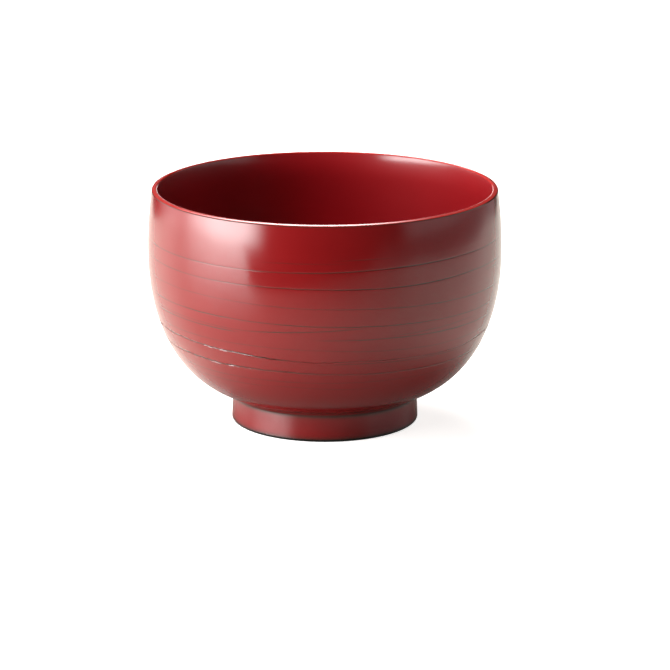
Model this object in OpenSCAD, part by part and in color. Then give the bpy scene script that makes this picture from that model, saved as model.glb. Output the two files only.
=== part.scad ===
// Footed soup bowl: a pressed-wood body and foot ring, glued together and coated with lacquer.
// Millimetres, +Z up. The origin is the centre of the circle that the foot stands on.

/* [Bowl] */
// Outer diameter of the mouth, at the lip
mouth_d = 105; // [95:0.5:120]
// How far the belly stands out past the mouth, on each side
belly_out = 1.3; // [0.8:0.1:3]
// Overall height, from the table to the top of the lip
bowl_h = 72.4; // [66:0.2:80]
// Height of the widest part of the belly
belly_h = 53.4; // [48:0.2:58]
// Thickness of the finished wall at the belly
wall_t = 2.6; // [2.1:0.1:3.4]
// Height of the inside floor above the table
floor_h = 11.8; // [11:0.2:16]
// How upright the side is drawn, where 2 is a plain ellipse
side_power = 3.5; // [3:0.1:5]
// How full the base is drawn, where 2 is a plain ellipse
base_power = 2.1; // [1.8:0.05:2.4]

/* [Lip] */
// Thickness of the lip, between its rounded edges and across them
lip_t = 1.8; // [1.5:0.05:2.1]
// Radius of the lip's rounded edges
lip_edge_r = 0.55; // [0.5:0.05:0.7]
// Fall of the lip's flat top towards the outside, in degrees
lip_slope = 10; // [0:1:20]
// Lean of the inside face outwards at the lip, in degrees
lip_flare = 10; // [4:1:14]
// Radius of the curve that opens the inside face out to the lip
lip_flare_r = 26; // [18:1:32]

/* [Foot] */
// Outer diameter of the foot where it stands
foot_d = 57; // [50:0.1:64]
// Height of the foot, up to the crease under the body
foot_h = 8.8; // [8:0.1:11]
// Lean of the foot's wall out of upright, in degrees
foot_flare = 2.5; // [0:0.1:6]
// Radius of the fillet of lacquer in the crease
crease_fillet_r = 1.2; // [0.6:0.1:2]
// Width of the edge that the foot stands on, with its rounded corners
foot_edge_w = 3.9; // [3:0.1:6]
// Radius of the rounded corners of that edge
foot_edge_r = 0.8; // [0.6:0.05:1.2]
// Depth of the well under the bowl, inside the foot
well_depth = 6.2; // [4.5:0.1:7]
// Radius of the fillet of lacquer round the top of the well
well_fillet_r = 1.2; // [0.5:0.1:2.5]

/* [Foot joint] */
// Thickness of the glue film between the body and the foot ring
glue_t = 0.12; // [0.06:0.01:0.2]

/* [Lacquer] */
// Thickness of the red or black top coat
top_coat_t = 0.25; // [0.22:0.01:0.3]
// Thickness of the dark ground coat under it
ground_coat_t = 0.15; // [0.1:0.01:0.2]

/* [Turned lines] */
// Width of a fine turned line, measured up the side
fine_line_w = 0.5; // [0.3:0.05:0.8]
// Depth of a fine turned line
fine_line_depth = 0.1; // [0.05:0.01:0.2]
// Width of a coarse turned line, measured up the side
coarse_line_w = 1.1; // [0.8:0.05:1.4]
// Depth of a coarse turned line
coarse_line_depth = 0.18; // [0.1:0.01:0.2]

/* [Hidden] */
$fn = 128;

// Heights of the turned lines as shares of the bowl's height, from the lowest up
line_height_shares = [0.327, 0.373, 0.434, 0.478, 0.521, 0.543, 0.584, 0.657, 0.743, 0.811];
// Which of those lines are coarse, counted from 0
coarse_lines = [1, 2];

// Largest radius of the curve to the lip, as a share of the lip's height over the belly
flare_room_share = 1.5;

// Turn of the curve's own angle, in degrees, from one point drawn on it to the next
curve_step = 2;
// Points drawn on each rounded edge
corner_steps = 6;
// Halvings in the search for the place where the crease's fillet leaves the side
fillet_tries = 40;
// Points closer than this are one point
same_point = 0.001;

// The wood lies this deep under the finished surface
coat_t = top_coat_t + ground_coat_t;

// Lip: a flat top between two rounded edges
lip_top_w = lip_t - 2 * lip_edge_r;
lip_top_angle = 90 - lip_slope;
lip_inner_end = 180 - lip_flare;
lip_outer_centre = [mouth_d / 2 - lip_edge_r, bowl_h - lip_edge_r - lip_top_w * sin(lip_slope)];
lip_inner_centre = lip_outer_centre + lip_top_w * [-cos(lip_slope), sin(lip_slope)];

// Shoulder: an arc from the belly to the lip's outer edge
belly_r = mouth_d / 2 + belly_out;
lip_back = belly_r - lip_outer_centre[0];
lip_rise = lip_outer_centre[1] - belly_h;
shoulder_r = (pow(lip_back, 2) + pow(lip_rise, 2) - pow(lip_edge_r, 2)) / (2 * (lip_back - lip_edge_r));
shoulder_centre = [belly_r - shoulder_r, belly_h];
lip_angle = atan2(lip_rise, shoulder_r - lip_back);

// Inside of the shoulder: one arc that leans in from the belly, then one that opens out to the lip.
// A low shoulder has no room for the whole radius of the second
inside_r = belly_r - wall_t;
flare_r = min(lip_flare_r, flare_room_share * lip_rise);
flare_centre = lip_inner_centre + (flare_r - lip_edge_r) * [cos(lip_flare), -sin(lip_flare)];
flare_rise = flare_centre[1] - belly_h;
inside_lean = 2 * atan((inside_r + flare_r - flare_centre[0]) / flare_rise);
inside_shoulder_r = flare_rise / sin(inside_lean) - flare_r;
inside_shoulder_centre = [inside_r - inside_shoulder_r, belly_h];

// Foot: its wall leans on the round of its outer corner
foot_corner = [foot_d / 2 - foot_edge_r, foot_edge_r];
well_r = foot_d / 2 - foot_edge_w;
well_corner = [well_r + foot_edge_r, foot_edge_r];
foot_wall_normal = [cos(foot_flare), sin(foot_flare)];
neck_r = foot_wall_r(foot_h, 0);

// Side and inside: one kind of curve, from the belly down
side_drop = (belly_h - foot_h) / pow(1 - pow(neck_r / belly_r, side_power), 1 / base_power);
neck_u = side_u(foot_h);
neck_normal = curve_normal(belly_r, side_drop, neck_u);
inside_drop = belly_h - floor_h;

// Crease: its fillet touches the side and the foot's wall
crease_u = fillet_u(0, neck_u, fillet_tries);
crease_centre = side_point(crease_u, -crease_fillet_r);
crease_normal = curve_normal(belly_r, side_drop, crease_u);
crease_angle = atan2(-crease_normal[1], -crease_normal[0]);
foot_wall_angle = 180 + foot_flare;

// Foot joint: the ring fits round a spigot under the body
seat_h = neck_point(coat_t)[1];
bore_r = well_r + coat_t;
spigot_r = bore_r - glue_t;
spigot_end_h = well_depth + coat_t;

function unit(v) = v / norm(v);
function reversed(list) = [for (i = [len(list) - 1 : -1 : 0]) list[i]];
function steps(from, to, count) = [for (i = [0 : count]) from * (1 - i / count) + to * i / count];
function curve_steps(from, to) = steps(from, to, ceil(abs(to - from) / curve_step));
function arc(centre, r, from, to, count) =
  [for (a = steps(from, to, count)) centre + r * [cos(a), sin(a)]];

// Curve from the belly, at u = 0, to the axis, at u = 90
function curve_point(reach, drop, u) =
  [reach * pow(cos(u), 2 / side_power), belly_h - drop * pow(sin(u), 2 / base_power)];
function curve_normal(reach, drop, u) = unit([
  side_power / reach * pow(cos(u), 2 - 2 / side_power),
  -base_power / drop * pow(sin(u), 2 - 2 / base_power)
]);

// In what follows, t is the depth of a layer under the finished surface

// Outside of the body. A height above the belly has a negative u, the angle of the shoulder
function side_u(h) = h < belly_h
  ? asin(pow((belly_h - h) / side_drop, base_power / 2))
  : -asin((h - belly_h) / shoulder_r);
function side_point(u, t) = u > 0
  ? curve_point(belly_r, side_drop, u) - t * curve_normal(belly_r, side_drop, u)
  : shoulder_centre + (shoulder_r - t) * [cos(u), -sin(u)];
function side_curve(t) = [for (u = curve_steps(-lip_angle, neck_u)) side_point(u, t)];

// Crease under the body, where its curve meets the foot's wall
function neck_point(t) = [neck_r, foot_h]
  - t * (neck_normal + foot_wall_normal) / (1 + neck_normal * foot_wall_normal);

// How far a fillet that touches the side at u stays clear of the foot's wall
function fillet_gap(u) =
  (side_point(u, -crease_fillet_r) - [neck_r, foot_h]) * foot_wall_normal - crease_fillet_r;
function fillet_u(from, to, tries) = let (middle = (from + to) / 2)
  tries == 0 ? middle
  : fillet_gap(middle) > 0 ? fillet_u(middle, to, tries - 1)
  : fillet_u(from, middle, tries - 1);
// Stretch of the side that the fillet covers
crease_strip = [for (u = curve_steps(neck_u, crease_u)) side_point(u, 0)];

// Lip, as two halves that meet in the middle of its flat top
function lip_middle(t) = (lip_outer_centre + lip_inner_centre) / 2
  + (lip_edge_r - t) * [cos(lip_top_angle), sin(lip_top_angle)];
function outer_lip(t) = concat(
  [lip_middle(t)],
  arc(lip_outer_centre, lip_edge_r - t, lip_top_angle, lip_angle, corner_steps)
);
function inner_lip(t) = concat(
  [lip_middle(t)],
  arc(lip_inner_centre, lip_edge_r - t, lip_top_angle, lip_inner_end, corner_steps)
);

// Inside of the bowl, from the lip down to the middle of the floor
function inside_point(u, t) =
  curve_point(inside_r, inside_drop, u) + t * curve_normal(inside_r, inside_drop, u);
function inside_curve(t) = concat(
  [for (a = curve_steps(-lip_flare, inside_lean)) flare_centre - (flare_r - t) * [cos(a), sin(a)]],
  [for (a = curve_steps(inside_lean, 0))
    inside_shoulder_centre + (inside_shoulder_r + t) * [cos(a), sin(a)]],
  [for (u = curve_steps(0, 90)) inside_point(u, t)]
);

// Foot's wall, its standing edge and the well inside it
function foot_wall_r(h, t) = foot_corner[0]
  + (foot_edge_r - t - (h - foot_corner[1]) * foot_wall_normal[1]) / foot_wall_normal[0];
function sole_curve(t) = concat(
  arc(foot_corner, foot_edge_r - t, foot_flare, -90, corner_steps),
  arc(well_corner, foot_edge_r - t, -90, -180, corner_steps)
);
function well_corner_points(t) = [
  [well_r + t, well_depth + t],
  [0, well_depth + t]
];
function well_fillet() = concat(
  arc([well_r, well_depth] - well_fillet_r * [1, 1], well_fillet_r, 0, 90, corner_steps),
  [[0, well_depth]]
);

// Turned lines: [height, width, depth], from the lowest up
function is_coarse(i) = len(search(i, coarse_lines)) > 0;
lines = [
  for (i = [0 : len(line_height_shares) - 1]) [
    line_height_shares[i] * bowl_h,
    is_coarse(i) ? coarse_line_w : fine_line_w,
    is_coarse(i) ? coarse_line_depth : fine_line_depth
  ]
];

// Finished side with its lines, from the crease's fillet up to the lip
band_starts = concat([crease_u], [for (line = lines) side_u(line[0] + line[1] / 2)]);
band_ends = concat([for (line = lines) side_u(line[0] - line[1] / 2)], [-lip_angle]);
lined_side = [
  for (i = [0 : len(lines)]) each concat(
    [for (u = curve_steps(band_starts[i], band_ends[i])) side_point(u, 0)],
    i < len(lines) ? [side_point(side_u(lines[i][0]), lines[i][2])] : []
  )
];

// Solid of an outline turned about the axis. Where two stretches meet, their shared point counts once
module turned(outline) {
  rotate_extrude() polygon([
    for (i = [0 : len(outline) - 1])
      if (i == 0 || norm(outline[i] - outline[i - 1]) > same_point) outline[i]
  ]);
}

// Pressed wood flour and resin, turned to shape, with the spigot for the foot ring
module body_core() {
  color("burlywood") turned(concat(
    reversed(inside_curve(coat_t)),
    reversed(inner_lip(coat_t)),
    outer_lip(coat_t),
    side_curve(coat_t),
    [
      neck_point(coat_t),
      [spigot_r, seat_h],
      [spigot_r, spigot_end_h],
      [0, spigot_end_h]
    ]
  ));
}

// Ring of the same wood, glued round the spigot
module foot_ring() {
  ring_top_h = seat_h - glue_t;
  color("tan") turned(concat(
    [[foot_wall_r(ring_top_h, coat_t), ring_top_h]],
    sole_curve(coat_t),
    [[bore_r, ring_top_h]]
  ));
}

// Film of glue on the seat and round the spigot
module foot_glue() {
  film_h = seat_h - glue_t;
  color("khaki") turned([
    neck_point(coat_t),
    [spigot_r, seat_h],
    [spigot_r, spigot_end_h],
    [bore_r, spigot_end_h],
    [bore_r, film_h],
    [foot_wall_r(film_h, coat_t), film_h]
  ]);
}

// Dark ground coat inside the bowl, up to the middle of the lip
function inside_layer(t) = concat(inner_lip(t), inside_curve(t));
module inside_ground_coat() {
  color("saddlebrown") turned(concat(inside_layer(top_coat_t), reversed(inside_layer(coat_t))));
}

// Dark ground coat outside, from the middle of the lip over the body and foot into the well
function outside_layer(t) = concat(
  outer_lip(t),
  side_curve(t),
  [neck_point(t)],
  sole_curve(t),
  well_corner_points(t)
);
module outside_ground_coat() {
  color("saddlebrown") turned(concat(outside_layer(top_coat_t), reversed(outside_layer(coat_t))));
}

// Red top coat on the outside of the body, with the turned lines
module body_red_coat() {
  color("firebrick") turned(concat(
    crease_strip,
    lined_side,
    side_curve(top_coat_t),
    [neck_point(top_coat_t)]
  ));
}

// Red top coat over the lip
function whole_lip(t) = concat(reversed(outer_lip(t)), inner_lip(t));
module rim_red_coat() {
  color("crimson") turned(concat(whole_lip(0), reversed(whole_lip(top_coat_t))));
}

// Red top coat inside the bowl
module inside_red_coat() {
  color("firebrick") turned(concat(inside_curve(0), reversed(inside_curve(top_coat_t))));
}

// Red top coat on the foot's wall, with the fillet that it leaves in the crease
module foot_red_coat() {
  color("firebrick") turned(concat(
    crease_strip,
    arc(crease_centre, crease_fillet_r, crease_angle, foot_wall_angle, corner_steps),
    [
      sole_curve(0)[0],
      sole_curve(top_coat_t)[0],
      neck_point(top_coat_t)
    ]
  ));
}

// Black top coat on the edge that the foot stands on
module foot_sole_coat() {
  color("black") turned(concat(sole_curve(0), reversed(sole_curve(top_coat_t))));
}

// Black top coat in the well under the bowl
module foot_well_coat() {
  color("black") turned(concat(
    [[well_r, foot_edge_r]],
    well_fillet(),
    reversed(well_corner_points(top_coat_t)),
    [[well_r + top_coat_t, foot_edge_r]]
  ));
}

body_core();
foot_ring();
foot_glue();
inside_ground_coat();
outside_ground_coat();
body_red_coat();
rim_red_coat();
inside_red_coat();
foot_red_coat();
foot_sole_coat();
foot_well_coat();
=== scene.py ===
"""Red lacquer soup bowl on a ring foot, put together in the order that it is made:
turned wood, glue, dark ground coats, red and black top coats, and then the studio."""
import math
import random

import bmesh
import bpy
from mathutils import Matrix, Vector


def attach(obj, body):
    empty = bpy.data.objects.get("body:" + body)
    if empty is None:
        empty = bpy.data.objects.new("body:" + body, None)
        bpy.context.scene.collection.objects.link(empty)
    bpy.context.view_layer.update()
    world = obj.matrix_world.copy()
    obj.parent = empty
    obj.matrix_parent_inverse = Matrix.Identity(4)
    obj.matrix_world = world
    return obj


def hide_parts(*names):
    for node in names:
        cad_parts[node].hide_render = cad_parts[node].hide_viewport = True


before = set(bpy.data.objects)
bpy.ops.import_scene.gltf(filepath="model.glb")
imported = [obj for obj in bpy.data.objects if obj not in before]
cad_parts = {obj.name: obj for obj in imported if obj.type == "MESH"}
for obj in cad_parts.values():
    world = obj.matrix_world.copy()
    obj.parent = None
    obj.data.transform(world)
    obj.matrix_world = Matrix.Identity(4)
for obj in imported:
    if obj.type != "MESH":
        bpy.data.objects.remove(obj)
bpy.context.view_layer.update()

# Body of the bowl: wood flour pressed with resin into a blank and turned on a lathe.
# A short spigot under it carries the foot ring. Lacquer covers all of it, so the solid stays as it is.
mm = 0.001


def linear(hex_code):
    """Linear colour of an sRGB hex value such as A8181E."""
    shares = [int(hex_code[i:i + 2], 16) / 255 for i in (0, 2, 4)]
    return [s / 12.92 if s <= 0.04045 else ((s + 0.055) / 1.055) ** 2.4 for s in shares] + [1.0]


def add_node(tree, kind, inputs=None, **settings):
    """Add a node, give it its settings, and set or link its inputs."""
    node = tree.nodes.new(kind)
    for name, value in settings.items():
        setattr(node, name, value)
    for name, value in (inputs or {}).items():
        if isinstance(value, bpy.types.NodeSocket):
            tree.links.new(value, node.inputs[name])
        else:
            node.inputs[name].default_value = value
    return node


def new_finish(name):
    """Start a material: its node tree and its shader."""
    finish = bpy.data.materials.new(name)
    finish.use_nodes = True
    return finish, finish.node_tree, finish.node_tree.nodes["Principled BSDF"]


# Numbers of a colour Mix node's sockets: its share, its two colours, and the colour that comes out
mix_share = 0
mix_first = 6
mix_second = 7
mix_result = 2

# Pressed wood flour, turned and left raw: matt and even, with short pale fibres and no grain
pressed_wood, tree, shader = new_finish("pressed_wood_flour_turned")
fibre_length = 1.4
fibre_width = 0.25
fibre_relief = 0.02
place = add_node(tree, "ShaderNodeTexCoord").outputs["Object"]
stretched = add_node(tree, "ShaderNodeMapping", {
    "Vector": place,
    "Scale": (1 / (fibre_length * mm), 1 / (fibre_length * mm), 1 / (fibre_width * mm)),
}).outputs["Vector"]
fibres = add_node(tree, "ShaderNodeTexNoise", {
    "Vector": stretched,
    "Scale": 1.0,
    "Detail": 3.0,
}).outputs["Fac"]
wood_colour = add_node(tree, "ShaderNodeMix", {
    mix_share: fibres,
    mix_first: linear("8A5C34"),
    mix_second: linear("C79B66"),
}, data_type="RGBA").outputs[mix_result]
wood_relief = add_node(tree, "ShaderNodeBump", {"Height": fibres, "Distance": fibre_relief * mm})
tree.links.new(wood_colour, shader.inputs["Base Color"])
tree.links.new(wood_relief.outputs["Normal"], shader.inputs["Normal"])
shader.inputs["Roughness"].default_value = 0.75
shader.inputs["IOR"].default_value = 1.5
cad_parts["body_core"].material_slots[0].material = pressed_wood

# Foot ring: a ring of the same pressed wood, turned and glued round the spigot.
# It is hidden under the lacquer too.
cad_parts["foot_ring"].material_slots[0].material = pressed_wood

# Glue: a thin film on the ring's seat and round the spigot, squeezed out when the two are pressed together.
# Hardened wood glue is a clear amber film, cloudy where air was caught in it
wood_glue, tree, shader = new_finish("wood_glue_hardened")
bubble_size = 0.3
place = add_node(tree, "ShaderNodeTexCoord").outputs["Object"]
bubbles = add_node(tree, "ShaderNodeTexVoronoi", {
    "Vector": place,
    "Scale": 1 / (bubble_size * mm),
}).outputs["Distance"]
glue_colour = add_node(tree, "ShaderNodeMix", {
    mix_share: bubbles,
    mix_first: linear("B08A4C"),
    mix_second: linear("D2B57E"),
}, data_type="RGBA").outputs[mix_result]
tree.links.new(glue_colour, shader.inputs["Base Color"])
shader.inputs["Roughness"].default_value = 0.45
shader.inputs["IOR"].default_value = 1.48
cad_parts["foot_glue"].material_slots[0].material = wood_glue

# Ground coats: dark brown lacquer with fine clay in it, brushed on inside and out and rubbed flat.
# They seal the wood and show only as a brown tone where the top coat is thin
ground_lacquer, tree, shader = new_finish("ground_lacquer_rubbed_flat")
rubbing_width = 0.4
place = add_node(tree, "ShaderNodeTexCoord").outputs["Object"]
rubbing = add_node(tree, "ShaderNodeTexNoise", {
    "Vector": place,
    "Scale": 1 / (rubbing_width * mm),
    "Detail": 4.0,
}).outputs["Fac"]
ground_colour = add_node(tree, "ShaderNodeMix", {
    mix_share: rubbing,
    mix_first: linear("2E1710"),
    mix_second: linear("4A2A1E"),
}, data_type="RGBA").outputs[mix_result]
tree.links.new(ground_colour, shader.inputs["Base Color"])
shader.inputs["Roughness"].default_value = 0.6
shader.inputs["IOR"].default_value = 1.5
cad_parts["inside_ground_coat"].material_slots[0].material = ground_lacquer
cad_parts["outside_ground_coat"].material_slots[0].material = ground_lacquer

# Red coat on the outside of the body: lacquer brushed over the turned wood in several thin layers.
# The lines that the turner's tool left in the wood show through it, fine and a little wavy,
# and two of them near the foot are coarse, with torn edges.
mouth_r = 52.5
bowl_h = 72.4
belly_r = 53.8
belly_h = 53.4
side_power = 3.5
base_power = 2.1
coat_t = 0.25

lip_t = 1.8
lip_edge_r = 0.55
lip_slope = math.radians(10)
lip_flat = lip_t - 2 * lip_edge_r
lip_outer = Vector((mouth_r - lip_edge_r, bowl_h - lip_edge_r - lip_flat * math.sin(lip_slope)))
lip_inner = lip_outer + lip_flat * Vector((-math.cos(lip_slope), math.sin(lip_slope)))

shoulder_back = belly_r - lip_outer.x
shoulder_rise = lip_outer.y - belly_h
shoulder_reach = shoulder_back ** 2 + shoulder_rise ** 2 - lip_edge_r ** 2
shoulder_r = shoulder_reach / (2 * (shoulder_back - lip_edge_r))
shoulder_centre = Vector((belly_r - shoulder_r, belly_h))
lip_angle = math.atan2(shoulder_rise, shoulder_r - shoulder_back)

foot_r = 28.5
foot_h = 8.8
foot_flare = math.radians(2.5)
foot_edge_w = 3.9
foot_edge_r = 0.8
foot_corner = Vector((foot_r - foot_edge_r, foot_edge_r))
foot_normal = Vector((math.cos(foot_flare), math.sin(foot_flare)))
neck_r = foot_corner.x + (foot_edge_r - (foot_h - foot_corner.y) * foot_normal.y) / foot_normal.x
side_drop = (belly_h - foot_h) / (1 - (neck_r / belly_r) ** side_power) ** (1 / base_power)


def polar(angle):
    """Unit vector of radius and height, at an angle above level."""
    return Vector((math.cos(angle), math.sin(angle)))


def curve_point(reach, drop, u):
    """Point and outward normal of the bowl's curve, from the belly at u = 0 to the axis at a right angle."""
    c = max(math.cos(u), 0.0)
    s = math.sin(u)
    point = Vector((reach * c ** (2 / side_power), belly_h - drop * s ** (2 / base_power)))
    normal = Vector((
        side_power / reach * c ** (2 - 2 / side_power),
        -base_power / drop * s ** (2 - 2 / base_power),
    ))
    return point, normal.normalized()


def side_at(height):
    """Point and normal of the outside at a height."""
    if height < belly_h:
        u = math.asin(((belly_h - height) / side_drop) ** (base_power / 2))
        return curve_point(belly_r, side_drop, u)
    angle = math.asin((height - belly_h) / shoulder_r)
    return shoulder_centre + shoulder_r * polar(angle), polar(angle)


divisions = 512
on_axis = 1e-6
sharp_angle = math.radians(35)


def turn(name, rings, tones=None):
    """Close a coat round the axis from rings of points. A ring is one (radius, height) pair, or a list of one
    pair for each of the divisions. tones says how brown each ring, or each point of it, is."""
    mesh = bpy.data.meshes.new(name)
    shape = bmesh.new()
    tone_layer = shape.verts.layers.float.new("line_tone") if tones else None
    ring_verts = []
    for i, ring in enumerate(rings):
        pairs = ring if isinstance(ring, list) else [ring] * divisions
        if pairs[0][0] < on_axis:
            pairs = pairs[:1]
        verts = []
        for j, (r, z) in enumerate(pairs):
            a = 2 * math.pi * j / divisions
            vert = shape.verts.new((r * mm * math.sin(a), -r * mm * math.cos(a), z * mm))
            if tones:
                vert[tone_layer] = tones[i][j] if isinstance(tones[i], list) else tones[i]
            verts.append(vert)
        ring_verts.append(verts)
    loop = len(ring_verts[0]) > 1
    for i in range(len(ring_verts) if loop else len(ring_verts) - 1):
        near = ring_verts[i]
        far = ring_verts[(i + 1) % len(ring_verts)]
        for j in range(divisions):
            k = (j + 1) % divisions
            if len(near) == 1:
                shape.faces.new((near[0], far[k], far[j]))
            elif len(far) == 1:
                shape.faces.new((near[j], near[k], far[0]))
            else:
                shape.faces.new((near[j], near[k], far[k], far[j]))
    bmesh.ops.recalc_face_normals(shape, faces=shape.faces)
    for face in shape.faces:
        face.smooth = True
    shape.to_mesh(mesh)
    shape.free()
    mesh.set_sharp_from_angle(angle=sharp_angle)
    piece = bpy.data.objects.new(name, mesh)
    bpy.context.scene.collection.objects.link(piece)
    return piece


# Turned lines from the top down: depth and half width of the cut, how torn its edges are,
# then angle in degrees, height and strength round the bowl. Angle 0 is the front and grows to the right
fine_depth = 0.025
fine_half_w = 0.2
torn_depth = 0.12
torn_half_w = 0.3
turned_lines = [
    (fine_depth, fine_half_w, 0, [
        (0, 62.0, 0), (5, 62.1, 0.3), (16, 62.2, 0.4), (24, 62.2, 0), (110, 62.0, 0), (140, 62.2, 0.4),
        (200, 62.4, 0), (300, 62.2, 0)]),
    (fine_depth, fine_half_w, 0, [
        (-22, 61.1, 0), (-14, 61.2, 0.4), (3, 61.2, 0.3), (10, 61.2, 0), (120, 61.0, 0), (200, 61.1, 0.3),
        (250, 61.2, 0)]),
    (fine_depth, fine_half_w, 0, [
        (-70, 58.6, 0.8), (-25, 58.4, 0.7), (-5, 58.5, 0.8), (20, 59.1, 1), (40, 59.5, 0.9), (70, 59.7, 0.7),
        (130, 59.3, 0.8), (190, 58.8, 0.6), (240, 58.7, 0.9)]),
    (fine_depth, fine_half_w, 0, [
        (-75, 54.2, 0.6), (-45, 53.9, 0.7), (-10, 53.7, 0.8), (20, 53.4, 1), (38, 53.6, 1), (50, 54.0, 0.8),
        (75, 54.0, 0.6), (130, 53.7, 0.8), (180, 53.4, 0.9), (240, 53.9, 0.7)]),
    (fine_depth, fine_half_w, 0, [
        (0, 52.3, 0), (58, 52.8, 0), (70, 52.4, 0.5), (95, 52.2, 0.6), (130, 52.3, 0), (240, 52.3, 0)]),
    (fine_depth, fine_half_w, 0, [
        (-60, 48.8, 0.4), (-30, 48.5, 0.4), (-10, 47.9, 0.5), (15, 47.4, 0.6), (30, 47.0, 0.7),
        (50, 46.6, 0.8), (70, 46.2, 0.7), (120, 46.6, 0.6), (180, 47.5, 0.5), (250, 48.5, 0.6)]),
    (fine_depth, fine_half_w, 0, [
        (-75, 43.4, 0.7), (-50, 43.3, 0.9), (-25, 42.9, 0.9), (0, 42.3, 1), (20, 41.9, 1), (40, 41.6, 0.9),
        (60, 41.3, 0.8), (120, 41.7, 0.7), (180, 42.4, 0.9), (240, 43.2, 0.8)]),
    (fine_depth, fine_half_w, 0, [
        (-70, 40.4, 0.4), (-45, 40.1, 0.3), (-27, 39.7, 0.5), (-15, 40.2, 0.9), (-3, 40.8, 0.8),
        (8, 41.3, 0.6), (15, 41.4, 0), (60, 40.7, 0), (150, 41.0, 0), (240, 41.0, 0)]),
    (fine_depth, fine_half_w, 0, [
        (-70, 39.5, 0.9), (-45, 39.3, 0.9), (-33, 39.1, 0.9), (-27, 39.1, 0), (20, 38.7, 0), (28, 38.6, 0.4),
        (48, 39.2, 0.4), (62, 39.4, 0), (110, 39.3, 0.5), (180, 39.5, 0.8), (240, 39.8, 0.7)]),
    (fine_depth, fine_half_w, 0, [
        (-100, 37.7, 0), (-6, 38.0, 0), (3, 38.0, 0.6), (25, 37.8, 0.9), (45, 37.5, 0.9), (70, 37.3, 0.8),
        (130, 37.6, 0.7), (200, 38.0, 0.6)]),
    (fine_depth, fine_half_w, 0, [
        (-70, 35.3, 0.5), (-30, 35.2, 0.4), (0, 34.7, 0.4), (12, 34.2, 0.4), (25, 33.8, 0.5), (45, 33.4, 0.4),
        (100, 33.9, 0.3), (170, 34.6, 0.5), (240, 35.3, 0.4)]),
    (torn_depth, torn_half_w, 1, [
        (-70, 33.0, 1), (-50, 32.7, 1), (-40, 32.3, 1), (-30, 32.1, 1), (-20, 31.4, 0.9), (-10, 31.0, 0.8),
        (-3, 30.7, 0.7), (5, 30.9, 0.5), (25, 30.7, 0.5), (52, 30.4, 0.5), (72, 31.6, 0.9), (110, 32.2, 0.7),
        (180, 32.6, 0.8), (240, 33.1, 0.9)]),
    (fine_depth, fine_half_w, 0, [
        (-30, 30.4, 0), (-8, 30.1, 0), (10, 30.1, 0.5), (30, 29.9, 0.6), (45, 29.8, 0.5), (65, 29.6, 0),
        (180, 30.2, 0), (260, 30.6, 0)]),
    (torn_depth, torn_half_w, 0.8, [
        (-70, 27.9, 1), (-50, 27.8, 1), (-40, 27.4, 1), (-31, 27.4, 1), (-15, 27.2, 0.9), (-5, 26.9, 0.7),
        (10, 26.5, 0.6), (25, 26.3, 0.6), (50, 26.2, 0.6), (110, 26.6, 0.7), (180, 27.1, 0.7),
        (240, 27.6, 0.9)]),
    (fine_depth, fine_half_w, 0, [
        (-65, 23.9, 0.4), (-40, 23.8, 0.5), (-10, 23.7, 0.4), (25, 23.6, 0.3), (90, 23.3, 0.3),
        (170, 23.6, 0.4), (240, 24.0, 0.3)]),
    (fine_depth, fine_half_w, 0, [
        (-58, 21.5, 0), (-50, 21.5, 0.4), (-28, 21.5, 0.4), (-21, 21.7, 0.1), (-13, 21.9, 0.3),
        (9, 21.2, 0.3), (24, 21.2, 0), (110, 21.4, 0.3), (160, 21.6, 0), (240, 21.5, 0.2)]),
]


def round_value(points, column, angle):
    """Value at an angle, from a line's first point on, of a smooth closed curve through its points."""
    count = len(points)
    i = 0
    while i < count - 1 and angle >= points[i + 1][0]:
        i += 1

    def knot(n):
        """Angle and value of a point, counted on past the last one and back before the first."""
        lap, n = divmod(n, count)
        return points[n][0] + 360 * lap, points[n][column]

    (a0, v0), (a1, v1), (a2, v2), (a3, v3) = [knot(i + n) for n in (-1, 0, 1, 2)]
    span = a2 - a1
    slope_1 = (v2 - v0) / (a2 - a0)
    slope_2 = (v3 - v1) / (a3 - a1)
    s = (angle - a1) / span
    return ((2 * s ** 3 - 3 * s ** 2 + 1) * v1 + (s ** 3 - 2 * s ** 2 + s) * span * slope_1
            + (3 * s ** 2 - 2 * s ** 3) * v2 + (s ** 3 - s ** 2) * span * slope_2)


def wander(seed, knots):
    """Smooth random values round the bowl, between -1 and 1, from a number of evenly spaced knots."""
    chance = random.Random(seed)
    values = [chance.uniform(-1, 1) for _ in range(knots)]
    result = []
    for j in range(divisions):
        at = j / divisions * knots
        i = int(at)
        s = at - i
        s = s * s * (3 - 2 * s)
        result.append(values[i % knots] * (1 - s) + values[(i + 1) % knots] * s)
    return result


# Each line's height, strength and chipping round the bowl: it sways a little, comes and goes,
# and a torn one is chipped
sway_seed = 100
sway_knots = 90
sway_reach = 0.05
fade_seed = 200
fade_knots = 60
fade_share = 0.25
chip_seed = 300
chip_knots = 400
chip_reach = 0.08
most_strength = 1.1
line_columns = []
for n, (_, _, torn, points) in enumerate(turned_lines):
    sway = wander(sway_seed + n, sway_knots)
    fade = wander(fade_seed + n, fade_knots)
    chips = wander(chip_seed + n, chip_knots)
    columns = []
    for j in range(divisions):
        angle = 360 * j / divisions
        angle = angle if angle <= 180 else angle - 360
        angle = angle if angle >= points[0][0] else angle + 360
        height = round_value(points, 1, angle) + sway_reach * sway[j] + chip_reach * torn * chips[j]
        strength = max(round_value(points, 2, angle) * (1 + fade_share * fade[j]), 0)
        chipping = max(chips[j], 0) * torn
        columns.append((height, min(strength, most_strength), chipping))
    line_columns.append(columns)

# Rows of points from the top down: seven across each line, and plain ones between the lines
row_gap = 1.5
low_row_gap = 0.5
plain = [0.0] * divisions
row_heights = []
row_cuts = []
row_tones = []


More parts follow.
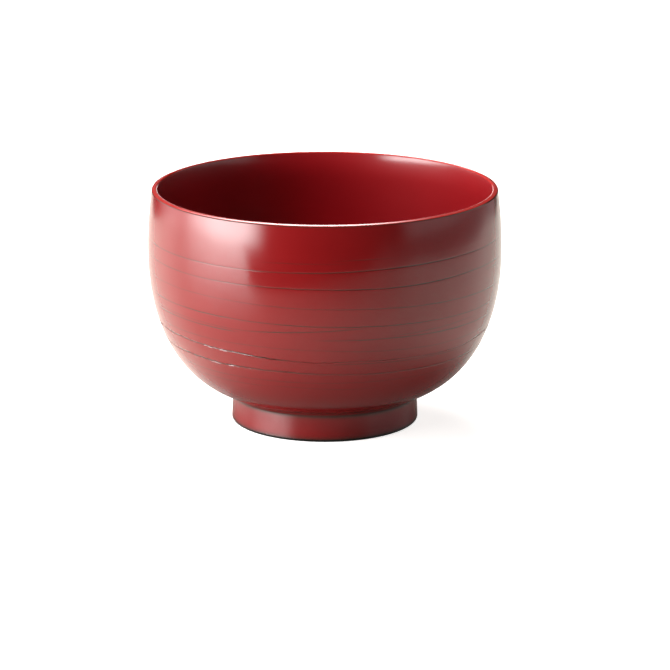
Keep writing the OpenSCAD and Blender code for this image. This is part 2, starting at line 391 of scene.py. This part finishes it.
def add_row(heights, cuts, tones):
    """Add a row: the heights of its points, how deep they are cut in, and how brown they are."""
    row_heights.append(heights)
    row_cuts.append(cuts)
    row_tones.append(tones)


def fill_between(upper, lower, gap):
    """Plain rows between two rows, no further apart than a gap."""
    widest = max(a - b for a, b in zip(upper, lower))
    count = max(math.ceil(widest / gap), 1)
    for i in range(1, count):
        add_row([a + (b - a) * i / count for a, b in zip(upper, lower)], plain, plain)


# Across a line from its upper edge down: places in half widths, and shares of its depth and tone.
# It narrows where the next line is near, and a torn one has chips in the cut and burrs along both edges
line_offsets = (1.7, 1.0, 0.5, 0.0, -0.5, -1.0, -1.7)
line_cuts = (0.0, 0.08, 0.6, 1.0, 0.6, 0.08, 0.0)
line_tones = (0.0, 0.12, 0.75, 1.0, 0.75, 0.12, 0.0)
gap_share = 0.45
chip_depth = 0.8
burr_rows = (1, 5)
burr_seed = 400
burr_knots = 340
burr_rise = 0.14
burr_least = 0.1
top_h = (shoulder_centre + shoulder_r * polar(lip_angle)).y
add_row([top_h] * divisions, plain, plain)
for n, (depth, half_w, torn, _) in enumerate(turned_lines):
    columns = line_columns[n]
    neighbours = line_columns[max(n - 1, 0):n] + line_columns[n + 1:n + 2]
    room = []
    for j in range(divisions):
        gap = min(abs(neighbour[j][0] - columns[j][0]) for neighbour in neighbours)
        room.append(min(1.0, gap_share * gap / (line_offsets[0] * half_w)))
    for k, offset in enumerate(line_offsets):
        heights = [columns[j][0] + offset * half_w * room[j] for j in range(divisions)]
        cuts = [
            depth * line_cuts[k] * strength * (1 + chip_depth * chipping)
            for _, strength, chipping in columns
        ]
        tones = [line_tones[k] * strength for _, strength, _ in columns]
        if k == 0:
            fill_between(row_heights[-1], heights, row_gap)
        if k in burr_rows:
            burrs = wander(burr_seed + 10 * n + k, burr_knots)
            cuts = [
                cuts[j] - burr_rise * torn * columns[j][1] ** 2 * max(burrs[j], burr_least)
                for j in range(divisions)
            ]
        add_row(heights, cuts, tones)

# The foot's lacquer fills the crease with a small fillet, which starts on a level row of this coat.
# Halving finds the height where the fillet touches the body
crease_fillet_r = 1.2
# Brown on the body's ring in the crease is painted shade
crease_painted_shade = 0.8
halvings = 40
neck_normal = side_at(foot_h)[1]


def neck_point(depth):
    """Crease between the body and the foot, at a depth under the finished surface."""
    return Vector((neck_r, foot_h)) - depth * (neck_normal + foot_normal) / (1 + neck_normal.dot(foot_normal))


low_h = foot_h
high_h = belly_h
for _ in range(halvings):
    crease_h = (low_h + high_h) / 2
    crease_point, crease_normal = side_at(crease_h)
    crease_centre = crease_point + crease_fillet_r * crease_normal
    if (crease_centre - neck_point(0)).dot(foot_normal) > crease_fillet_r:
        high_h = crease_h
    else:
        low_h = crease_h
fill_between(row_heights[-1], [crease_h] * divisions, low_row_gap)
add_row([crease_h] * divisions, plain, plain)

body_rings = []
for heights, cuts in zip(row_heights, row_cuts):
    ring = []
    for height, cut in zip(heights, cuts):
        point, normal = side_at(height)
        ring.append(tuple(point - cut * normal))
    body_rings.append(ring)
body_rings.append((neck_r, foot_h))
row_tones.append(crease_painted_shade)

back_rows = 16
body_rings.append(tuple(neck_point(coat_t)))
for i in range(1, back_rows):
    point, normal = side_at(foot_h + (top_h - foot_h) * i / back_rows)
    body_rings.append(tuple(point - coat_t * normal))
body_rings.append(tuple(shoulder_centre + (shoulder_r - coat_t) * polar(lip_angle)))
row_tones.extend([0.0] * (back_rows + 1))
body_coat = turn("red_body_coat", body_rings, row_tones)


def brushed_red(name, deep, bright, haze, gloss, relief):
    """Red lacquer under a clear skin, with soft clouds of tone from deep to bright and long brush strokes. It
    is browner where line_tone says so: in the turned lines and at the lip's outer edge, and, as painted
    shade, in the crease above the foot and low on the foot's wall. haze is the sheen of the red itself, gloss
    the roughness of the skin, and relief the height of the strokes."""
    finish, tree, shader = new_finish(name)
    # Brown for thin lacquer, and for painted shade in the crease and low on the foot
    thin_coat_and_shade_brown = "3C211B"
    cloud_size = 14.0
    stroke_width = 0.5
    stroke_length = 25.0
    least_roughness = 0.42
    most_roughness = 0.5
    place = add_node(tree, "ShaderNodeTexCoord").outputs["Object"]
    clouds = add_node(tree, "ShaderNodeTexNoise", {
        "Vector": place,
        "Scale": 1 / (cloud_size * mm),
        "Detail": 2.0,
    }).outputs["Fac"]
    along = add_node(tree, "ShaderNodeMapping", {
        "Vector": place,
        "Scale": (1 / (stroke_length * mm), 1 / (stroke_length * mm), 1 / (stroke_width * mm)),
    }).outputs["Vector"]
    strokes = add_node(tree, "ShaderNodeTexNoise", {
        "Vector": along,
        "Scale": 1.0,
        "Detail": 2.0,
    }).outputs["Fac"]
    plain_red = add_node(tree, "ShaderNodeMix", {
        mix_share: clouds,
        mix_first: linear(deep),
        mix_second: linear(bright),
    }, data_type="RGBA").outputs[mix_result]
    line_tone = add_node(tree, "ShaderNodeAttribute", attribute_name="line_tone").outputs["Fac"]
    red_colour = add_node(tree, "ShaderNodeMix", {
        mix_share: line_tone,
        mix_first: plain_red,
        mix_second: linear(thin_coat_and_shade_brown),
    }, data_type="RGBA").outputs[mix_result]
    roughness = add_node(tree, "ShaderNodeMapRange", {
        "Value": strokes,
        "To Min": least_roughness,
        "To Max": most_roughness,
    })
    stroke_relief = add_node(tree, "ShaderNodeBump", {"Height": strokes, "Distance": relief * mm})
    tree.links.new(red_colour, shader.inputs["Base Color"])
    tree.links.new(roughness.outputs["Result"], shader.inputs["Roughness"])
    tree.links.new(stroke_relief.outputs["Normal"], shader.inputs["Normal"])
    tree.links.new(stroke_relief.outputs["Normal"], shader.inputs["Coat Normal"])
    shader.inputs["IOR"].default_value = 1.5
    shader.inputs["Specular IOR Level"].default_value = haze
    shader.inputs["Coat Weight"].default_value = 1.0
    shader.inputs["Coat Roughness"].default_value = gloss
    shader.inputs["Coat IOR"].default_value = 1.5
    return finish


# Red lacquer brushed over turned wood: a clear deep red with a soft gloss that spreads the light a little.
# It is darker and browner in the lines, where the brush leaves it thin
red_turned = brushed_red(
    "red_lacquer_over_turned_wood", deep="761012", bright="7D1214", haze=0.03, gloss=0.16, relief=0.0008)
body_coat.data.materials.append(red_turned)
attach(body_coat, "root")
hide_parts("body_red_coat")

# Red coat over the lip: the brush is drawn round it last, where the outside and the inside meet.
# The lip is a narrow flat that falls a little outwards, between two small rounded edges, and its outer edge
# is toned brown.
edge_steps = 10
lip_top = math.pi / 2 - lip_slope
lip_flare = math.radians(10)
lip_end = math.pi - lip_flare


def arc(centre, radius, start, end, steps):
    """Points of an arc from one angle to another, with both ends."""
    return [centre + radius * polar(start + (end - start) * i / steps) for i in range(steps + 1)]


def lip_outline(depth):
    """Outline of the lip at a depth under the finished surface, from the outside inwards."""
    outer = arc(lip_outer, lip_edge_r - depth, lip_angle, lip_top, edge_steps)
    inner = arc(lip_inner, lip_edge_r - depth, lip_top, lip_end, edge_steps)
    return [tuple(point) for point in outer + inner]


rim_face = lip_outline(0)
rim_back = lip_outline(coat_t)
edge_tones = [0.6, 1.0, 1.0, 0.9, 0.7, 0.4, 0.2]
rim_tones = edge_tones + [0.0] * (len(rim_face) + len(rim_back) - len(edge_tones))
rim_coat = turn("red_rim_coat", rim_face + rim_back[::-1], rim_tones)

# Red lacquer drawn thin over an edge. Its red is brighter and warmer than on the wall: painted light for the
# strong light from above on the lip
red_lip_painted_bright = brushed_red(
    "red_lacquer_on_lip_painted_bright", deep="9C1A14", bright="A81C16", haze=0.03, gloss=0.1, relief=0.0003)
rim_coat.data.materials.append(red_lip_painted_bright)
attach(rim_coat, "root")
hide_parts("rim_red_coat")

# Red coat inside the bowl: the same lacquer, brushed over wood that was turned and rubbed smooth.
# It has no lines, and the wall opens out a little just under the lip.
wall_t = 2.6
floor_h = 11.8
lip_flare_r = 26.0
inside_r = belly_r - wall_t
inside_drop = belly_h - floor_h
flare_centre = lip_inner + (lip_flare_r - lip_edge_r) * polar(-lip_flare)
flare_rise = flare_centre.y - belly_h
inside_lean = 2 * math.atan((inside_r + lip_flare_r - flare_centre.x) / flare_rise)
inside_shoulder_r = flare_rise / math.sin(inside_lean) - lip_flare_r
inside_shoulder = Vector((inside_r - inside_shoulder_r, belly_h))


def inside_outline(depth):
    """Outline of the inside at a depth under the finished surface, from the lip to the floor's middle."""
    flare_steps = 16
    lean_steps = 8
    curve_steps = 64
    flare = arc(flare_centre, depth - lip_flare_r, -lip_flare, inside_lean, flare_steps)
    lean = arc(inside_shoulder, inside_shoulder_r + depth, inside_lean, 0.0, lean_steps)
    outline = flare[:-1] + lean[:-1]
    for i in range(curve_steps):
        point, normal = curve_point(inside_r, inside_drop, math.pi / 2 * i / curve_steps)
        outline.append(point + depth * normal)
    outline.append(Vector((0.0, floor_h - depth)))
    return [tuple(point) for point in outline]


inside_coat = turn("red_inside_coat", inside_outline(0)[::-1] + inside_outline(coat_t))

# Red lacquer brushed over smooth wood, with an even, quiet gloss and hardly a stroke to see. Its red is a
# brighter copy of the wall's red, painted light for the light that falls into the bowl
red_inside_painted_bright = brushed_red(
    "red_lacquer_brushed_smooth_painted_bright", deep="8F1218", bright="97141A", haze=0.25, gloss=0.17, relief=0.0003)
inside_coat.data.materials.append(red_inside_painted_bright)
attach(inside_coat, "root")
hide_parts("inside_red_coat")

# Red coat on the foot's wall: brushed round the foot from the crease under the body down to the black edge.
# It gathers in a small fillet in the crease and is browner down the fillet, which is painted shade in the
# crease. It is also browner just under the crease, and again where it runs out over the black, partly thin
# red over the black and partly painted shade near the ground.
crease_angle = math.atan2(-crease_normal.y, -crease_normal.x)
wall_angle = math.pi + foot_flare
fillet_shares = (0.0, 0.12, 0.25, 0.38, 0.5, 0.62, 0.75, 0.88, 1.0)
# Painted shade: the fillet darkens to brown into the crease
fillet_painted_shade = (0.0, 0.05, 0.1, 0.2, 0.3, 0.45, 0.7, 0.9, 0.9)
wall_shares = (0.04, 0.09, 0.16, 0.3, 0.5, 0.75, 0.86, 0.94, 1.0)
# Brown under the crease and at the bottom, where it is partly thin red and partly painted shade near the
# ground
wall_shade_and_thin_tones = (0.6, 0.25, 0.05, 0.0, 0.0, 0.0, 0.15, 0.5, 0.9)
foot_rings = []
for share in fillet_shares:
    angle = crease_angle + (wall_angle - crease_angle) * share
    foot_rings.append(tuple(crease_centre + crease_fillet_r * polar(angle)))
wall_top = Vector(foot_rings[-1])
wall_end = foot_corner + foot_edge_r * polar(foot_flare)
foot_rings += [tuple(wall_top.lerp(wall_end, share)) for share in wall_shares]
foot_back = [
    tuple(foot_corner + (foot_edge_r - coat_t) * polar(foot_flare)),
    tuple(neck_point(coat_t)),
    tuple(neck_point(0)),
    tuple(side_at((foot_h + crease_h) / 2)[0]),
]
foot_tones = fillet_painted_shade + wall_shade_and_thin_tones + (0.0,) * len(foot_back)
foot_coat = turn("red_foot_coat", foot_rings + foot_back, foot_tones)

# Red lacquer on the foot: brushed round a tight wall and not rubbed down, so its gloss is softer
red_foot = brushed_red(
    "red_lacquer_on_foot_wall", deep="780E10", bright="800F12", haze=0.03, gloss=0.24, relief=0.0004)
foot_coat.data.materials.append(red_foot)
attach(foot_coat, "root")
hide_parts("foot_red_coat")

# Black coat on the edge that the foot stands on: wiped on after the red and worn a little flat by tables.
# Both corners of the edge are rounded.
quarter = math.pi / 2
well_r = foot_r - foot_edge_w
well_corner = Vector((well_r + foot_edge_r, foot_edge_r))


def sole_outline(depth):
    """Outline of the standing edge at a depth under the finished surface, from the outside inwards."""
    outer = arc(foot_corner, foot_edge_r - depth, foot_flare, -quarter, edge_steps)
    inner = arc(well_corner, foot_edge_r - depth, -quarter, -2 * quarter, edge_steps)
    return [tuple(point) for point in outer + inner]


sole_coat = turn("black_sole_coat", sole_outline(0) + sole_outline(coat_t)[::-1])

# Black lacquer, half gloss: deep and even, with a trace of brown and fine rubbing marks
black_lacquer, tree, shader = new_finish("black_lacquer_half_gloss")
mark_size = 0.8
least_black_roughness = 0.22
most_black_roughness = 0.34
place = add_node(tree, "ShaderNodeTexCoord").outputs["Object"]
marks = add_node(tree, "ShaderNodeTexNoise", {
    "Vector": place,
    "Scale": 1 / (mark_size * mm),
    "Detail": 3.0,
}).outputs["Fac"]
black_colour = add_node(tree, "ShaderNodeMix", {
    mix_share: marks,
    mix_first: linear("0D0A09"),
    mix_second: linear("1C1512"),
}, data_type="RGBA").outputs[mix_result]
black_gloss = add_node(tree, "ShaderNodeMapRange", {
    "Value": marks,
    "To Min": least_black_roughness,
    "To Max": most_black_roughness,
})
tree.links.new(black_colour, shader.inputs["Base Color"])
tree.links.new(black_gloss.outputs["Result"], shader.inputs["Roughness"])
shader.inputs["IOR"].default_value = 1.5
sole_coat.data.materials.append(black_lacquer)
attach(sole_coat, "root")
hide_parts("foot_sole_coat")

# Black coat in the well under the bowl: brushed over the ring's inner wall and the flat end of the spigot.
# It gathers in a small fillet round the corner.
well_depth = 6.2
well_fillet_r = 1.2
well_shares = (0.75, 0.5, 0.25, 0.0)
fillet_centre = Vector((well_r - well_fillet_r, well_depth - well_fillet_r))
well_face = [(well_r, foot_edge_r)]
well_face += [tuple(point) for point in arc(fillet_centre, well_fillet_r, 0.0, quarter, edge_steps)]
well_face += [(fillet_centre.x * share, well_depth) for share in well_shares]
well_back = [
    (0.0, well_depth + coat_t),
    (well_r + coat_t, well_depth + coat_t),
    (well_r + coat_t, foot_edge_r),
]
well_coat = turn("black_well_coat", well_back + well_face)
well_coat.data.materials.append(black_lacquer)
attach(well_coat, "root")
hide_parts("foot_well_coat")

# Studio, in metres: a plain pale floor in a dark room, and soft boxes round it.
# The floor is for the camera alone. What the lacquer mirrors is a sheet of white acrylic on a black table,
# with a grey table beside it, all laid just under the floor.
floor_half = 6.0
whole_floor = [
    (-floor_half, -floor_half),
    (floor_half, -floor_half),
    (floor_half, floor_half),
    (-floor_half, floor_half),
]


def add_ground(name, finish, corners, height):
    """Flat ground with its corners in order, at a height."""
    mesh = bpy.data.meshes.new(name)
    mesh.from_pydata([(x, y, height) for x, y in corners], [], [range(len(corners))])
    mesh.materials.append(finish)
    ground = bpy.data.objects.new(name, mesh)
    bpy.context.scene.collection.objects.link(ground)
    return ground


# Matt pale floor with a fine grain. It is lit up to plain white, which hides the grain
pale_floor, tree, shader = new_finish("pale_floor_matt")
floor_grain = 1.0
place = add_node(tree, "ShaderNodeTexCoord").outputs["Object"]
grain = add_node(tree, "ShaderNodeTexNoise", {
    "Vector": place,
    "Scale": 1 / (floor_grain * mm),
    "Detail": 2.0,
}).outputs["Fac"]
floor_colour = add_node(tree, "ShaderNodeMix", {
    mix_share: grain,
    mix_first: linear("EDECEA"),
    mix_second: linear("F1F0EE"),
}, data_type="RGBA").outputs[mix_result]
tree.links.new(floor_colour, shader.inputs["Base Color"])
shader.inputs["Roughness"].default_value = 0.9
shader.inputs["Specular IOR Level"].default_value = 0.0
shader.inputs["Emission Color"].default_value = linear("F6F5F3")
shader.inputs["Emission Strength"].default_value = 0.9
studio_floor = add_ground("studio_floor", pale_floor, whole_floor, 0.0)
studio_floor.visible_glossy = False
studio_floor.visible_diffuse = False
studio_floor.visible_shadow = False


def brighten_away(tree, middle, start, end, least):
    """Share that grows from least to 1 between two distances from a point, all in mm."""
    place = add_node(tree, "ShaderNodeTexCoord").outputs["Object"]
    away = add_node(tree, "ShaderNodeVectorMath", {
        0: place,
        1: [mm * part for part in middle],
    }, operation="DISTANCE").outputs["Value"]
    return add_node(tree, "ShaderNodeMapRange", {
        "Value": away,
        "From Min": start * mm,
        "From Max": end * mm,
        "To Min": least,
    }, interpolation_type="SMOOTHSTEP").outputs["Result"]


# Glossy white acrylic that glows with no lamp in it: its emission is painted light for the light that falls
# on it. Its colour and glow carry painted shade round the foot and a painted dimming towards its front edge,
# so that the wall mirrors a pale sheet that fades out downwards and at the front
white_acrylic, tree, shader = new_finish("white_acrylic_glowing_painted_shade")
shade = brighten_away(tree, middle=(12.0, 0.0, 0.0), start=36.0, end=80.0, least=0.3)
dim = brighten_away(tree, middle=(0.0, -320.0, 0.0), start=0.0, end=360.0, least=0.35)
sheet_painted_shade = add_node(tree, "ShaderNodeMath", {0: shade, 1: dim}, operation="MULTIPLY").outputs["Value"]
sheet_colour = add_node(tree, "ShaderNodeMix", {
    mix_share: sheet_painted_shade,
    mix_first: linear("000000"),
    mix_second: linear("D1CEC4"),
}, data_type="RGBA").outputs[mix_result]
tree.links.new(sheet_colour, shader.inputs["Base Color"])
tree.links.new(sheet_colour, shader.inputs["Emission Color"])
# The glow is painted light, and it carries the same painted shade as the colour
shader.inputs["Emission Strength"].default_value = 0.5
shader.inputs["Roughness"].default_value = 0.25
shader.inputs["IOR"].default_value = 1.45

# The sheet's edges show in the wall as the edges of the pale reflections, so it is cut to their shape
sheet_h = -0.0005
sheet_corners = [
    (-0.12, -0.22), (0.03, -0.34), (0.2, -0.36), (0.42, -0.25), (0.42, 0.3), (0.25, 0.3), (0.15, 0.45),
    (-0.15, 0.45), (-0.25, 0.3), (-3, 0.4), (-3, -1.6), (-0.9, -0.62), (-0.5, -0.43), (-0.185, -0.19)]
acrylic_sheet = add_ground("acrylic_sheet", white_acrylic, sheet_corners, sheet_h)
acrylic_sheet.visible_camera = False


def matt_paint(name, colour):
    """Plain matt paint, with no gleam."""
    finish, _, shader = new_finish(name)
    shader.inputs["Base Color"].default_value = linear(colour)
    shader.inputs["Roughness"].default_value = 1.0
    shader.inputs["Specular IOR Level"].default_value = 0.0
    return finish


# Black paint keeps the rest of the table out of the reflections
black_table_h = -0.002
black_paint = matt_paint("black_table_matt", "101010")
black_table = add_ground("black_table", black_paint, whole_floor, black_table_h)
black_table.visible_camera = False

# Grey paint gives the right of the wall a quiet, even veil
side_table_h = -0.001
side_table_corners = [(0.12, -0.3), (1.6, -2.0), (6, -1), (6, 3), (0.3, 0.4)]
grey_paint = matt_paint("grey_table_matt", "8C8C8C")
side_table = add_ground("side_table", grey_paint, side_table_corners, side_table_h)
side_table.visible_camera = False


def add_light(name, centre, aim, width, tall, power, feather):
    """Soft box with its middle at centre, turned to face the point aim. feather gives the shares of its width
    and height over which it fades out at the left, right, bottom and top."""
    light = bpy.data.lights.new(name, "AREA")
    light.shape = "RECTANGLE"
    light.size = width
    light.size_y = tall
    light.energy = power
    light.use_nodes = True
    tree = light.node_tree
    spot = add_node(tree, "ShaderNodeNewGeometry").outputs["Parametric"]
    across = add_node(tree, "ShaderNodeSeparateXYZ", {"Vector": spot})
    glow = 1.0
    for axis, edge, share in zip("XXYY", (0, 1, 0, 1), feather):
        if share > 0:
            fade = add_node(tree, "ShaderNodeMapRange", {
                "Value": across.outputs[axis],
                "From Min": edge,
                "From Max": abs(edge - share),
            }, interpolation_type="SMOOTHSTEP").outputs["Result"]
            glow = add_node(tree, "ShaderNodeMath", {0: fade, 1: glow}, operation="MULTIPLY").outputs["Value"]
    tree.links.new(glow, tree.nodes["Emission"].inputs["Strength"])
    lamp = bpy.data.objects.new(name, light)
    lamp.location = centre
    lamp.rotation_euler = (Vector(aim) - Vector(centre)).to_track_quat("-Z", "Y").to_euler()
    lamp.visible_camera = False
    bpy.context.scene.collection.objects.link(lamp)
    return lamp


# The box at the left is the main light, and gives the highlight on the wall
add_light(
    "left_soft_box", centre=(-0.941, -0.34, 0.3), aim=(0.015, -0.048, 0.3),
    width=1.4, tall=0.6, power=47, feather=(0.51, 0.28, 0, 0.9))

# A higher box fills in the light from the left, without a highlight of its own
high_soft_box = add_light(
    "high_soft_box", centre=(-0.75, -0.4, 0.75), aim=(0, 0, 0.05),
    width=0.6, tall=0.5, power=18.5, feather=(0.2, 0.2, 0.2, 0.2))
high_soft_box.visible_glossy = False

# Two dim boxes show only in reflections: one at the wall's left edge, one as the glow on the foot
side_soft_box = add_light(
    "side_soft_box", centre=(-0.82, 0.57, 0.3), aim=(0, 0, 0.3),
    width=1.2, tall=0.6, power=1.5, feather=(0.5, 0.3, 0, 0.4))
side_soft_box.visible_diffuse = False
near_soft_box = add_light(
    "near_soft_box", centre=(-0.7, 0.12, 0.25), aim=(-0.159, -0.721, 0.25),
    width=0.9, tall=0.5, power=2.6, feather=(0.3, 0.3, 0, 0.8))
near_soft_box.visible_diffuse = False

# The box behind and above draws the white line along the front of the lip. A flag keeps it off the inside
top_soft_box = add_light(
    "top_soft_box", centre=(-0.15, 0.7, 0.85), aim=(-0.15, 0.7, 0),
    width=0.8, tall=1.3, power=38, feather=(0.3, 0.3, 0.2, 0.1))
flagged = bpy.data.collections.new("flagged_from_top_soft_box")
flagged.objects.link(inside_coat)
top_soft_box.light_linking.receiver_collection = flagged
flagged.collection_objects[0].light_linking.link_state = "EXCLUDE"

# A low strip at the back draws the pale line on the lip's inner edge,
# and a wide dim box fills in from the right
add_light(
    "back_soft_strip", centre=(0, 1.3, 0.1), aim=(0, 0, 0.1),
    width=0.8, tall=0.2, power=2, feather=(0.2, 0.2, 0, 0.3))
add_light(
    "right_fill", centre=(1.2, 0, 0.35), aim=(0, 0, 0.1),
    width=2.4, tall=0.7, power=5.0, feather=(0.2, 0.2, 0, 0.2))

# The room is white behind the floor and nearly dark everywhere else
room_strength = 0.03
backdrop_strength = 1.0
world = bpy.data.worlds.new("studio_room")
bpy.context.scene.world = world
world.use_nodes = True
tree = world.node_tree
tree.nodes.clear()
seen = add_node(tree, "ShaderNodeLightPath").outputs["Is Camera Ray"]
room_light, backdrop = [
    add_node(tree, "ShaderNodeBackground", {
        "Color": linear("FFFFFF"),
        "Strength": strength,
    }).outputs["Background"]
    for strength in (room_strength, backdrop_strength)
]
both = add_node(tree, "ShaderNodeMixShader", {0: seen, 1: room_light, 2: backdrop}).outputs["Shader"]
add_node(tree, "ShaderNodeOutputWorld", {"Surface": both})

# Camera: in front of the bowl and a little above it, with a long lens
bpy.context.scene.view_settings.view_transform = "Standard"
view_distance = 1.05
view_elevation = math.radians(14.45)
view_height = 0.036
camera_data = bpy.data.cameras.new("camera")
camera_data.lens = 184.7
camera_data.sensor_width = 36.0
camera_data.shift_x = 0.0151
camera_data.shift_y = -0.0481
camera = bpy.data.objects.new("camera", camera_data)
camera.location = (
    0.0,
    -view_distance * math.cos(view_elevation),
    view_height + view_distance * math.sin(view_elevation),
)
camera.rotation_euler = (math.pi / 2 - view_elevation, 0.0, 0.0)
bpy.context.scene.collection.objects.link(camera)
bpy.context.scene.camera = camera
